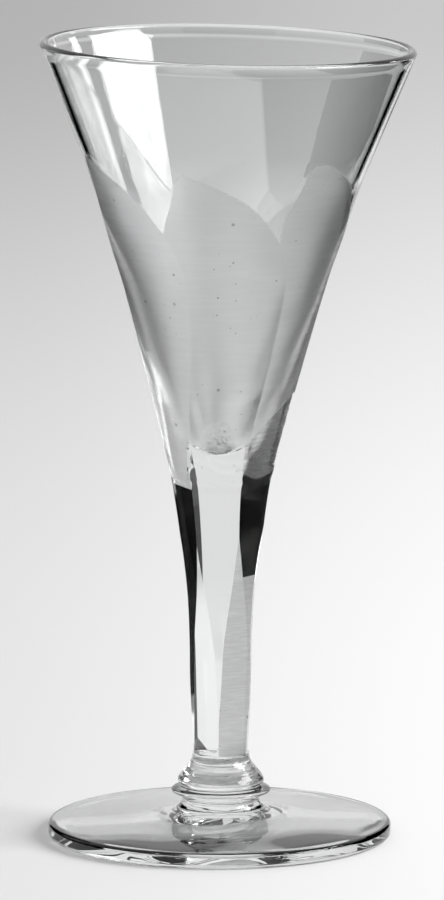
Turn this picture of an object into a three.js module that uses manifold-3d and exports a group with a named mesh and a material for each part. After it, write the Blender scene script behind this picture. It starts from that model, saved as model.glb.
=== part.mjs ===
// A small stemmed cordial glass in clear colourless glass: a deep conical bowl cut with six leaning petals,
// a solid stem cut with two sets of six flat panels, a ringed collar and a wide low foot.
// Millimetres, +Z up. The origin is the middle of the flat underside of the foot, and the front faces -Y.
import * as THREE from "three";
import { mergeVertices } from "three/addons/utils/BufferGeometryUtils.js";
import Module from "manifold-3d";

const wasm = await Module();
wasm.setup();

// Foot: a low disc with a nearly square rounded edge, thickest where the collar stands on it
const footRadius = 24.6;
const footEdgeThickness = 2.2;
const footMiddleThickness = 3.7;
const footEdgeRounding = 0.65;

// Collar: a neck on the foot, a wide lower ring, a groove, a smaller upper ring and a shoulder under the stem
const collarHeight = 8.3;
const collarNeckRadius = 5.7;
const collarFootRadius = 6.6;
const lowerRingRadius = 7.1;
const lowerRingHeight = 3.2;
const lowerRingThickness = 1.5;
const grooveRadius = 5.5;
const upperRingRadius = 6.2;
const upperRingHeight = 5.3;
const upperRingThickness = 1.3;
const collarTopRadius = 4.1;

// Stem: solid, with two sets of six flat panels. The upper ones spread into the bowl, and the lower ones are
// turned by half a panel and run out to points on the ridges above. Each size is a panel's distance from the
// stem's middle, at the collar, at the height where it starts to spread, and at the bowl.
const stemLength = 39;
const panelCount = 6;
const stemPanelTurn = THREE.MathUtils.degToRad(-6);
const upperPanelFoot = 4;
const upperPanelWaist = 4.36;
const upperWaistHeight = 21;
const upperPanelHollow = 0.29;
const lowerPanelFoot = 3.3;
const lowerPanelWaist = 3.72;
const lowerWaistHeight = 13;
const lowerPanelTop = 7.4;
const lowerPanelHollow = 0.62;
// The panels were cut by hand. Each stands out by a share of the unevenness, starting with the front panel
// and the one to its right, and the lower panels were hardly cut at the back.
const upperUnevenness = 0.4;
const lowerUnevenness = 0.7;
const upperPanelShares = [-0.5, 1, 0.5, -0.5, 0, 0];
const lowerPanelShares = [0.2, 1, 2.5, 2.5, 1, 0];
const lowerBackPanels = [2, 3];
// How much of the lower unevenness there is, by shares of the stem's length
const lowerSideShares = [
  [0, 0.55],
  [0.26, 1],
  [0.42, 0.75],
  [0.58, 0.3],
  [0.75, 0],
];
const lowerBackShares = [
  [0, 0.3],
  [0.08, 1],
];

// Bowl: outer radii at the stem, at the bend where the wall steepens, and at the lip
const bowlHeight = 63;
const bowlBaseRadius = 7;
const bowlBendRadius = 18.72;
const bowlBendHeight = 42.4;
const bowlLipRadius = 26.75;
const bowlHollow = 0.28;
const wallAtBend = 1.13;
const lipThickness = 1.2;
const cavityFloor = 5;
const cavityTipRadius = 4;

// Petals: one broad shallow cut above each stem panel, with a round arch on top
const petalArchHeight = 47.8;
const petalShoulderHeight = 34;
const petalShoulderHalfWidth = 11.9;
const petalBaseHalfWidth = 5.2;
const petalFaceRadius = 21;
const petalDepth = 0.2;
const petalArchTurn = THREE.MathUtils.degToRad(-7);
// Where the middle of a petal's face lies, as shares of its height and degrees from its stem panel
const petalSwayShares = [
  [0, 0],
  [0.2, 5.2],
  [0.4, 10.4],
  [0.6, 14],
  [0.76, 11],
  [0.9, -1],
  [1, -12],
];

// The glass was set by hand: its bowl leans a little to the right and its lip slopes that way
const bowlLean = THREE.MathUtils.degToRad(0.95);
const leanStartHeight = 9;
const lipSlope = THREE.MathUtils.degToRad(0.6);
// The collar, stem and bowl stand this far to the right of the middle of the foot
const stemOffset = 0.2;

// Where a curved outline lies deepest inside the straight line between its ends, as a share of its rise
const hollowPlaceShare = 0.42;

// Fineness of the surfaces
const bowlSegments = 72;
const faceSegments = 96;
const faceRings = 22;
const collarSegments = 54;
const curveSteps = 4;
const footSegments = 90;
const stemRows = 26;
const cutterOverrun = 6;
// Corners of one piece that lie closer than this are one corner
const weldDistance = 1e-4;

const collarBase = footMiddleThickness;
const stemBase = collarBase + collarHeight;
const bowlBase = stemBase + stemLength;
const lipRounding = lipThickness / 2;

const panelStep = (2 * Math.PI) / panelCount;

const clearGlass = (tint) =>
  new THREE.MeshStandardMaterial({ color: tint, roughness: 0.03, transparent: true, opacity: 0.4 });

// A curve from one outline point up to another that lies up to the given depth inside the straight line
function flare(start, end, hollow, steps) {
  const corner = start.clone().lerp(end, hollowPlaceShare);
  corner.x -= 2 * hollow;
  return new THREE.QuadraticBezierCurve(start, corner, end).getPoints(steps);
}

// Radius at a height on such a curve
function flareAt(start, end, hollow, height) {
  const share = THREE.MathUtils.clamp((height - start.y) / (end.y - start.y), 0, 1);
  const straight = 1 - 2 * hollowPlaceShare;
  const t = (Math.sqrt(hollowPlaceShare ** 2 + straight * share) - hollowPlaceShare) / straight;
  const corner = THREE.MathUtils.lerp(start.x, end.x, hollowPlaceShare) - 2 * hollow;
  return (1 - t) ** 2 * start.x + 2 * t * (1 - t) * corner + t * t * end.x;
}

// Value of a table of shares, straight from one entry to the next and level past its ends
function tableAt(table, share) {
  const at = THREE.MathUtils.clamp(share, table[0][0], table.at(-1)[0]);
  const k = Math.max(1, table.findIndex(([entry]) => entry >= at));
  const [[fromShare, from], [toShare, to]] = [table[k - 1], table[k]];
  return from + ((to - from) * (at - fromShare)) / (toShare - fromShare);
}

// Points of an arc in the outline plane, from one angle to another
function arc(x, y, radius, from, to, steps) {
  const curve = new THREE.EllipseCurve(x, y, radius, radius, from, to, to < from);
  return curve.getPoints(steps);
}

// An outline of radii and heights turned about the upright axis
function turned(points, segments, turn = 0) {
  const geometry = new THREE.LatheGeometry(points, segments, turn);
  geometry.rotateX(Math.PI / 2);
  return geometry;
}

function solidOf(geometry) {
  const bare = geometry.index ? geometry.toNonIndexed() : geometry.clone();
  bare.deleteAttribute("normal");
  bare.deleteAttribute("uv");
  const merged = mergeVertices(bare, weldDistance);
  return new wasm.Manifold(
    new wasm.Mesh({
      numProp: 3,
      vertProperties: merged.attributes.position.array,
      triVerts: new Uint32Array(merged.index.array),
    }),
  );
}

function geometryOf(solid) {
  const mesh = solid.getMesh();
  const geometry = new THREE.BufferGeometry();
  geometry.setAttribute("position", new THREE.BufferAttribute(new Float32Array(mesh.vertProperties), 3));
  geometry.setIndex(new THREE.BufferAttribute(new Uint32Array(mesh.triVerts), 1));
  return geometry;
}

function named(name, geometry, tint) {
  geometry.computeVertexNormals();
  const mesh = new THREE.Mesh(geometry, clearGlass(tint));
  mesh.name = name;
  return mesh;
}

// Foot

function footOutline() {
  const r = footEdgeRounding;
  const edge = footRadius - r;
  return [
    new THREE.Vector2(0, 0),
    ...arc(edge, r, r, -Math.PI / 2, 0, 5),
    ...arc(edge, footEdgeThickness - r, r, 0, Math.PI / 2, 5),
    new THREE.Vector2(collarFootRadius, footMiddleThickness),
    new THREE.Vector2(0, footMiddleThickness),
  ];
}

// Collar

function collarOutline() {
  const path = new THREE.Path();
  path.moveTo(0, 0);
  path.lineTo(collarFootRadius, 0);
  path.quadraticCurveTo(
    collarNeckRadius,
    lowerRingThickness / 4,
    collarNeckRadius,
    lowerRingHeight - lowerRingThickness / 2,
  );
  path.quadraticCurveTo(
    lowerRingRadius,
    lowerRingHeight - lowerRingThickness / 2,
    lowerRingRadius,
    lowerRingHeight,
  );
  path.quadraticCurveTo(
    lowerRingRadius,
    lowerRingHeight + lowerRingThickness / 3,
    grooveRadius,
    lowerRingHeight + lowerRingThickness / 2,
  );
  path.quadraticCurveTo(
    upperRingRadius,
    upperRingHeight - upperRingThickness / 2,
    upperRingRadius,
    upperRingHeight,
  );
  path.quadraticCurveTo(
    upperRingRadius,
    upperRingHeight + upperRingThickness / 2,
    (upperRingRadius + collarTopRadius) / 2,
    (upperRingHeight + collarHeight) / 2,
  );
  path.quadraticCurveTo(
    collarTopRadius,
    collarHeight - upperRingThickness / 2,
    collarTopRadius,
    collarHeight,
  );
  path.lineTo(0, collarHeight);
  return path.getPoints(curveSteps);
}

// Stem

function upperPanel(k, height) {
  const waist = new THREE.Vector2(upperPanelWaist, upperWaistHeight);
  const top = new THREE.Vector2(bowlBaseRadius * Math.cos(panelStep / 2), stemLength);
  const low = THREE.MathUtils.lerp(upperPanelFoot, upperPanelWaist, height / upperWaistHeight);
  const share = height <= waist.y ? height / waist.y : (top.y - height) / (top.y - waist.y);
  const level = height <= waist.y ? low : flareAt(waist, top, upperPanelHollow, height);
  return level + upperPanelShares[k] * upperUnevenness * THREE.MathUtils.smoothstep(share, 0, 1);
}

function lowerPanel(k, height) {
  const waist = new THREE.Vector2(lowerPanelWaist, lowerWaistHeight);
  const top = new THREE.Vector2(lowerPanelTop, stemLength);
  const low = THREE.MathUtils.lerp(lowerPanelFoot, lowerPanelWaist, height / lowerWaistHeight);
  const level = height <= waist.y ? low : flareAt(waist, top, lowerPanelHollow, height);
  const table = lowerBackPanels.includes(k) ? lowerBackShares : lowerSideShares;
  return level + lowerPanelShares[k] * lowerUnevenness * tableAt(table, height / stemLength);
}

// A solid of six panels, with each corner put where its two panels meet
function panelled(panel, turn, overrun) {
  const [low, high] = [-overrun, stemLength + overrun];
  const outline = [new THREE.Vector2(0, low)];
  for (let i = 0; i <= stemRows; i += 1)
    outline.push(new THREE.Vector2(bowlBaseRadius, THREE.MathUtils.lerp(low, high, i / stemRows)));
  outline.push(new THREE.Vector2(0, high));
  const geometry = turned(outline, panelCount, turn + panelStep / 2);
  const position = geometry.attributes.position;
  for (let i = 0; i < position.count; i += 1) {
    const [x, y] = [position.getX(i), position.getY(i)];
    if (Math.hypot(x, y) < bowlBaseRadius / 2) continue;
    const k = (Math.round((Math.atan2(x, -y) - turn) / panelStep - 1 / 2) + panelCount) % panelCount;
    const height = THREE.MathUtils.clamp(position.getZ(i), 0, stemLength);
    const near = panel(k, height);
    const far = panel((k + 1) % panelCount, height);
    const along = (far - near * Math.cos(panelStep)) / Math.sin(panelStep);
    const out = turn + k * panelStep;
    position.setX(i, near * Math.sin(out) + along * Math.cos(out));
    position.setY(i, along * Math.sin(out) - near * Math.cos(out));
  }
  return solidOf(geometry);
}

function cutStem() {
  const upper = panelled(upperPanel, stemPanelTurn, 0);
  const lower = panelled(lowerPanel, stemPanelTurn + panelStep / 2, cutterOverrun);
  return geometryOf(upper.intersect(lower));
}

// Bowl

const lipCentre = new THREE.Vector2(bowlLipRadius - lipRounding, bowlHeight - lipRounding);
const bend = new THREE.Vector2(bowlBendRadius, bowlBendHeight);

function bowlOutside(steps) {
  const base = new THREE.Vector2(bowlBaseRadius, 0);
  return flare(base, bend, bowlHollow, steps);
}

// The cavity follows the wall from the lip to the bend, and runs straight from there onto its round tip
function bowlInside() {
  const tip = new THREE.Vector2(0, cavityFloor + cavityTipRadius);
  const atLip = new THREE.Vector2(lipCentre.x - lipRounding, lipCentre.y);
  const atBend = new THREE.Vector2(bend.x - wallAtBend, bend.y);
  const toTip = atBend.clone().sub(tip);
  const halfAngle = Math.atan2(toTip.x, toTip.y) - Math.asin(cavityTipRadius / toTip.length());
  return [atLip, atBend, ...arc(tip.x, tip.y, cavityTipRadius, -halfAngle, -Math.PI / 2, 8)];
}

function bowlBlank() {
  return solidOf(
    turned(
      [
        new THREE.Vector2(0, 0),
        ...bowlOutside(12),
        ...arc(lipCentre.x, lipCentre.y, lipRounding, 0, Math.PI, 8).slice(0, -1),
        ...bowlInside(),
      ],
      bowlSegments,
    ),
  );
}

// Outer radius of the uncut bowl at a height above its base
function bowlRadiusAt(height) {
  const wall = [...bowlOutside(faceRings), new THREE.Vector2(bowlLipRadius, lipCentre.y)];
  const k = Math.max(1, wall.findIndex((point) => point.y >= height));
  const [low, high] = [wall[k - 1], wall[k]];
  return low.x + ((high.x - low.x) * (height - low.y)) / (high.y - low.y);
}

// Radius of a face's middle, so that neighbouring faces meet in a ridge as wide as the uncut bowl
function faceMiddleRadius(ridgeRadius) {
  const half = panelStep / 2;
  const reach = Math.sqrt(petalFaceRadius ** 2 - (ridgeRadius * Math.sin(half)) ** 2);
  return petalFaceRadius + ridgeRadius * Math.cos(half) - reach;
}

function petalSway(height) {
  return THREE.MathUtils.degToRad(tableAt(petalSwayShares, height / petalArchHeight));
}

// What a petal leaves of the bowl: a round bar that follows the wall, swaying to the side as it rises
function petalFace() {
  const low = -cutterOverrun;
  const high = petalArchHeight + cutterOverrun;
  const outline = [new THREE.Vector2(0, low)];
  for (let i = 0; i <= faceRings; i += 1)
    outline.push(new THREE.Vector2(petalFaceRadius, low + ((high - low) * i) / faceRings));
  outline.push(new THREE.Vector2(0, high));
  const geometry = turned(outline, faceSegments);
  const position = geometry.attributes.position;
  for (let i = 0; i < position.count; i += 1) {
    const height = position.getZ(i);
    const middle = faceMiddleRadius(bowlRadiusAt(Math.max(height, 0))) - petalDepth;
    const shift = middle - petalFaceRadius;
    const sway = petalSway(height);
    position.setX(i, position.getX(i) + shift * Math.sin(sway));
    position.setY(i, position.getY(i) - shift * Math.cos(sway));
  }
  return solidOf(geometry);
}

// The arched patch of wall that a petal covers, as a block that reaches in from outside
function petalPatch() {
  const arch = new THREE.Shape();
  arch.moveTo(-petalBaseHalfWidth, -cutterOverrun);
  arch.lineTo(petalBaseHalfWidth, -cutterOverrun);
  arch.lineTo(petalBaseHalfWidth, 0);
  arch.lineTo(petalShoulderHalfWidth, petalShoulderHeight);
  arch.absellipse(
    0,
    petalShoulderHeight,
    petalShoulderHalfWidth,
    petalArchHeight - petalShoulderHeight,
    0,
    Math.PI,
    false,
  );
  arch.lineTo(-petalBaseHalfWidth, 0);
  const block = new THREE.ExtrudeGeometry(arch, {
    depth: bowlLipRadius,
    bevelEnabled: false,
    curveSegments: 20,
  });
  block.rotateX(Math.PI / 2);
  block.rotateZ(petalArchTurn);
  return solidOf(block);
}

// The bowl turns with its stem panels, and then leans from the height where it starts to widen
function setByHand(geometry) {
  const position = geometry.attributes.position;
  for (let i = 0; i < position.count; i += 1) {
    const height = position.getZ(i);
    const x = position.getX(i);
    const angle = bowlLean * THREE.MathUtils.clamp(height / leanStartHeight, 0, 1);
    const drop = x * Math.tan(lipSlope) * (height / bowlHeight) ** 2;
    position.setX(i, x * Math.cos(angle) + height * Math.sin(angle));
    position.setZ(i, height * Math.cos(angle) - x * Math.sin(angle) - drop);
  }
  return geometry;
}

function cutBowl() {
  const cutter = petalPatch().subtract(petalFace());
  let bowl = bowlBlank();
  for (let k = 0; k < panelCount; k += 1) {
    const turn = THREE.MathUtils.radToDeg(stemPanelTurn + k * panelStep);
    bowl = bowl.subtract(cutter.rotate([0, 0, turn]));
  }
  return geometryOf(bowl);
}

const glass = new THREE.Group();

const foot = named("foot", turned(footOutline(), footSegments), 0xdfe6e6);

const collar = named("collar", turned(collarOutline(), collarSegments), 0xd4dcdd);
collar.position.z = collarBase;

const stem = named("stem", cutStem(), 0xe4eaea);
stem.position.z = stemBase;

const bowl = named("bowl", setByHand(cutBowl()), 0xeef2f2);
bowl.position.z = bowlBase;

const upperGlass = new THREE.Group();
upperGlass.add(collar, stem, bowl);
upperGlass.position.x = stemOffset;

glass.add(foot, upperGlass);

export default glass;
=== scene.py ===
import math

import bpy
import numpy as np
from bpy.props import FloatProperty, FloatVectorProperty, IntProperty, PointerProperty
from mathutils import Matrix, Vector


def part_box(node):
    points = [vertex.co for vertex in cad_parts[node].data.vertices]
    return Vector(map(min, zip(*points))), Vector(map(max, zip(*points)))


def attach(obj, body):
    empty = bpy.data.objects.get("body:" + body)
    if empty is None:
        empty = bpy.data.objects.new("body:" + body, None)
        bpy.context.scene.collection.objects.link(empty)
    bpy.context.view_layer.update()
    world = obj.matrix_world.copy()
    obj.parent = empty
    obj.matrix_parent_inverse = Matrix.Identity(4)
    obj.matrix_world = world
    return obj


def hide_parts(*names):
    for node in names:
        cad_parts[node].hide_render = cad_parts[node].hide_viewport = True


bl_info = {
    "name": "Cordial glass",
    "version": (1, 0, 0),
    "blender": (4, 5, 0),
    "location": "3D View > Sidebar > Cordial glass",
    "description": "Makes a petal-cut cordial glass in four joined pieces, and a pale studio to see it in",
    "category": "Add Mesh",
}

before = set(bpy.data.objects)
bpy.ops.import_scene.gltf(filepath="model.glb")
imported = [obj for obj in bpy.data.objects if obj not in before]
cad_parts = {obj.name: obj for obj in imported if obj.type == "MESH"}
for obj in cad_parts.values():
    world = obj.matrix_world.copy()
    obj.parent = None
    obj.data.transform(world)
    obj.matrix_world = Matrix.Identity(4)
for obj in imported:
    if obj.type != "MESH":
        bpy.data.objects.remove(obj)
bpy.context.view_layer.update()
_, foot_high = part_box("foot")
collar_low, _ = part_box("collar")
stem_low, stem_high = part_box("stem")

MM = 0.001
FOOT_RADIUS = foot_high.x
FOOT_TOP = collar_low.z
COLLAR_TOP = stem_low.z
STEM_TOP = stem_high.z
COLLAR_HEIGHT = COLLAR_TOP - FOOT_TOP
STEM_LENGTH = STEM_TOP - COLLAR_TOP

# Angle between two faces from which on their edge looks sharp, and the same on the flat panels of the stem
SHARP_EDGE = math.radians(30)
SHARP_PANEL_EDGE = math.radians(12)
# Corners closer than this become one
MERGE_DISTANCE = MM / 1000
# A corner or face this close to a level, a radius or the middle is taken to lie on it
ON_IT = MM / 100
# Share of a face's normal along the upright above which the face lies level
LEVEL = 0.999
# Heights this close belong to the same row of corners, and rows are told apart to so many decimals of a metre
SAME_ROW = MM / 10000
ROW_DECIMALS = 8
# Two angles this close are taken to be the same
SAME_ANGLE = 1e-6
# A smaller cosine counts as this one, so that it can be divided by
SMALLEST_COSINE = 0.001

PANELS = 6
PANEL_ANGLE = math.tau / PANELS
HALF_PANEL = PANEL_ANGLE / 2

# How many rows of faces lie along each stretch of the outlines: the foot's hollow, its rounded edge, its top
# and the steeper rise there, the collar, the stem, and the bowl's petals, rim, lip and cavity
HOLLOW_ROWS = 40
ROUNDING_ROWS = 10
FOOT_TOP_ROWS = 36
FOOT_STEP_ROWS = 6
COLLAR_ROWS = 96
STEM_ROWS = 130
PETAL_ROWS = 186
RIM_ROWS = 12
LIP_ROWS = 16
UPPER_CAVITY_ROWS = 12
LOWER_CAVITY_ROWS = 24
CAVITY_TIP_ROWS = 18

# Where a curved outline lies deepest inside the straight line between its ends, as a share of its rise, and
# how deep the outlines of the stem's panels and of the bowl lie there
HOLLOW_PLACE_SHARE = 0.42
UPPER_PANEL_HOLLOW = 0.29 * MM
LOWER_PANEL_HOLLOW = 0.62 * MM
BOWL_HOLLOW = 0.28 * MM

# Outline of the collar, from the neck over the foot up: radii and heights above the foot, in millimetres
COLLAR_KNOTS = (
    (6.35, 0.35),
    (5.8, 0.9),
    (5.5, 1.5),
    (5.6, 2.0),
    (6.3, 2.35),
    (7.0, 2.7),
    (7.1, 3.05),
    (6.6, 3.4),
    (5.95, 3.6),
    (5.8, 3.75),
    (6.0, 3.95),
    (6.2, 4.3),
    (6.05, 4.8),
    (5.6, 5.45),
    (5.05, 6.15),
    (4.5, 6.85),
    (4.2, 7.45),
    (4.1, 7.95),
)
COLLAR_TOP_RADIUS = 4.1 * MM
# The middles of the collar's faces under the stem lie inside this share of the stem's outline
SEAT_SHARE = 0.8

# How pointed the hollow under the foot is: 1 is a plain cone
HOLLOW_POINTEDNESS = 1.15
# The waves in the foot: length of each in millimetres, the direction that it runs in, and where it starts
FOOT_WAVES = ((24, 0.5, 0.3), (17, 1.7, 1.9), (13, 2.8, 4.1))
# Distance from the foot's edge and step over which the waves on top grow to their full height
WAVE_FADE = 4 * MM

# Where the middle of a petal's face lies, as shares of the petal's height and degrees from its panel
PETAL_SWAY_SHARES = (
    (0.0, 0.0),
    (0.18, 5.5),
    (0.34, 12.0),
    (0.46, 15.5),
    (0.57, 17.0),
    (0.65, 16.0),
    (0.73, 11.5),
    (0.81, 6.0),
    (0.91, 1.5),
    (1.0, -9.0),
)

# Each petal was cut by hand: how far it stands turned at its shoulder, in degrees, and raised at its arch,
# in shares of the arch's height, starting with the one that faces the camera and going round to the right
PETAL_TURNS = (-3.0, -7.0, -1.0, 2.0, -1.0, 1.0)
PETAL_RISE_SHARES = (-0.01, 0.03, -0.02, -0.05, -0.02, 0.01)

# How dull each petal is left by its last polish; the ones at the back are the brightest
PETAL_DULLNESS_SHARES = (1.0, 1.0, 0.35, 0.2, 0.35, 1.0)

# How high above the stem each petal ends on the stem panel below it, as degrees from the panel's middle and
# millimetres, starting with the front panel and going round to the right
PETAL_FEET = (
    ((-30, 7.0), (-12, 5.9), (0, 5.7), (15, 6.0), (30, 6.8)),
    ((-30, 6.8), (-6, 9.6), (14, 11.8), (30, 13.3)),
    ((-30, 13.3), (0, 12.5), (30, 13.0)),
    ((-30, 13.0), (0, 12.5), (30, 13.0)),
    ((-30, 13.0), (-10, 11.0), (15, 4.0), (30, 0.9)),
    ((-30, 0.9), (0, 0.5), (20, 0.9), (26, 3.5), (30, 7.0)),
)
# Where the panels under the petals were ground as well, and not polished: their lower edges in the same way
GROUND_FEET = (
    ((-30, 7.0), (2, 5.7), (8, 5.1), (30, 2.3)),
    ((-30, 2.3), (0, 1.2), (30, 1.8)),
    ((-30, 1.8), (-10, 8.0), (0, 12.5), (30, 13.0)),
    ((-30, 13.0), (0, 12.5), (30, 13.0)),
    ((-30, 13.0), (-10, 11.0), (15, 4.0), (30, 0.9)),
    ((-30, 0.9), (0, 0.5), (20, 0.9), (26, 3.5), (30, 7.0)),
)

# How dull the ground panels under the petals are, as a share of the petals' dullness; their ground also
# carries painted shade. One of them, to the right of the front, gets painted shade in coarse streaks along
# the wheel's lines.
GROUND_FOOT_SHARES = (0.2, 0.75, 0.2, 0.2, 0.2, 0.2)
STREAK_SHADED_FOOT = 1
# No petal ends higher than this above the stem
HIGHEST_FOOT = 14 * MM
# How steeply the stem's panels spread on under the petals, and the height from which on they don't stand out
# over the petals
PANEL_SPREAD = 0.22
PANEL_MEETS_PETAL = 3 * MM
# Height over which a petal's face begins at its foot
FOOT_BLEND = 0.4 * MM

# Angle over which a petal's ground face begins at its arch
PETAL_EDGE = math.radians(1.2)
# How pointed an arch is: 0.5 is a half ellipse, and 1 is a parabola
ARCH_POINTEDNESS = 0.8
# How steeply the lower wall would still widen above the bend, and over how much the wall bends
LOWER_STEEPNESS = 0.3
BEND_BLEND = 0.25 * MM
# Height above the stem from which on the bowl leans
LEAN_START = 9 * MM

# How far each of the stem's panels stands out, in shares of the unevenness, starting with the front one and
# with the one to its right. The lower panels were hardly cut at the back.
UPPER_PANEL_SHARES = (-0.5, 1.0, 0.5, -0.5, 0.0, 0.0)
LOWER_PANEL_SHARES = (0.2, 1.0, 2.5, 2.5, 1.0, 0.0)
LOWER_BACK_PANELS = (2, 3)
LOWER_SIDE_SHARES = ((0.0, 0.55), (0.26, 1.0), (0.42, 0.75), (0.58, 0.3), (0.75, 0.0))
LOWER_BACK_SHARES = ((0.0, 0.3), (0.08, 1.0), (0.16, 1.0))

GLASS_IOR = 1.52
# Height of a wheel mark as a share of its length
MARK_LENGTH_SHARE = 0.07
# Share of the cells that hold no speck, and the radius of the widest speck as a share of a cell
SPECKLESS_SHARE = 0.72
WIDEST_SPECK = 0.16
# How many cells for specks lie along a metre, first for the wide ones and then for the small ones, and their
# tone
SPECKS_PER_METRE = (480, 1300)
SPECK_TONE = 0.25
# The crowd of small bubbles under the bowl's cavity: its middle, how far it reaches, how far it is dense, how
# many lie along a metre and how high they swell
SEED_PLACE = (-0.3 * MM, -9.6 * MM, 58.8 * MM)
SEED_REACH = 2.8 * MM
SEED_CORE = 1.8 * MM
SEEDS_PER_METRE = 1500
SEED_SWELL = 0.35 * MM
# How far the marks take the roughness down and up, and the values of the marks between which they do so
MARK_ROUGHNESS_SHARES = (0.8, 1.2)
MARK_ROUGHNESS_RANGE = (0.3, 0.7)
# The values of the marks between which a streak of painted shade darkens the glass, and how dark the painted
# shade gets, as a share of the clear glass
SHADE_STREAK_RANGE = (0.34, 0.56)
SHADE_STREAK_TONE = 0.2
# How far ground glass is darkened evenly with painted shade, and the share of the painted shade streaks that
# it still shows
EVEN_GROUND_SHADE = 0.19
FAINT_SHADE_STREAKS = 0.06
# How strong the painted shade streaks along the wheel's lines are on the stem's ground panels, where 1 is as
# strong as on the petal foot with the coarse streaks
STEM_STREAK_SHADE = 0.24
# The lines drawn round the collar
DRAWN_LINES_PER_METRE = 650
DRAWN_LINE_DEPTH = 0.16 * MM

# Radius of the floor in metres
FLOOR_RADIUS = 3
# The floor lies this far under the table's level, so that it doesn't lie in the foot
FLOOR_DROP = MM / 20
# Where the floor's painted shade changes, in metres: away from the glass, to its left, in front of it and far
# off
FLOOR_FAR_RANGE = (0.05, 1.1)
FLOOR_LEFT_RANGE = (0.06, -0.06)
FLOOR_FRONT_RANGE = (-0.06, -0.14)
FLOOR_BEYOND_RANGE = (1.15, 1.5)
# The tops of the dark cards that stand behind the glass, in millimetres: first those to the left, and then
# those to the right, each from the middle outwards
STANDING_CARD_TOPS = ((-1, (90, 24, 40)), (1, (62, 62, 62)))
# Corners of the dark cards that lie on the floor, in millimetres: in front to the right, and then behind to
# the right and to the left
DARK_CARDS = (
    ((87, -41), (-19, -222), (300, -400), (500, -41)),
    ((80, -41), (500, -41), (600, 500), (190, 500)),
    ((-162, 240), (-230, 240), (-230, 430), (-162, 430)),
)
# Corners of the white cards that lie to the left, in millimetres, and how bright each one is
WHITE_CARDS = (
    (((-14, 70), (-36, 62), (-125, 320), (-60, 340)), 0.42),
    (((-50, -40), (-50, 110), (-150, 130), (-150, -40)), 1.5),
    (((-100, 165), (-158, 165), (-158, 335), (-100, 335)), 2.5),
)
# The white card that lies in front
FRONT_CARD = ((76, -62), (-19, -222), (-120, -300), (-120, -62))
FRONT_CARD_TONE = 1.6
# The white card far behind to the right, whose glow carries painted shade that darkens it to the right: where
# its shade starts and ends, and how bright the card is there
SHADED_CARD = ((36, 600), (60, 1000), (140, 1000), (140, 470))
SHADED_CARD_REACH = (40 * MM, 120 * MM)
SHADED_CARD_TONES = (0.55, 0.22)
# Upright cards across the view, a white one behind the glass and a dark one behind the camera: corners to the
# side and up in millimetres, and how far back each one stands
WHITE_SCREEN = ((-14, 4), (14, 4), (14, 49), (-14, 49))
WHITE_SCREEN_PLACE = 120 * MM
WHITE_SCREEN_TONE = 0.82
DARK_SCREEN = ((-800, 200), (800, 200), (800, 1000), (-800, 1000))
DARK_SCREEN_PLACE = -1300 * MM
# Lying cards are this high over the table, so that they don't lie in the floor
CARD_LIFT = MM / 5
# Height of the place on the glass that the soft boxes look at
SOFT_BOX_AIM = 100 * MM


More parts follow.
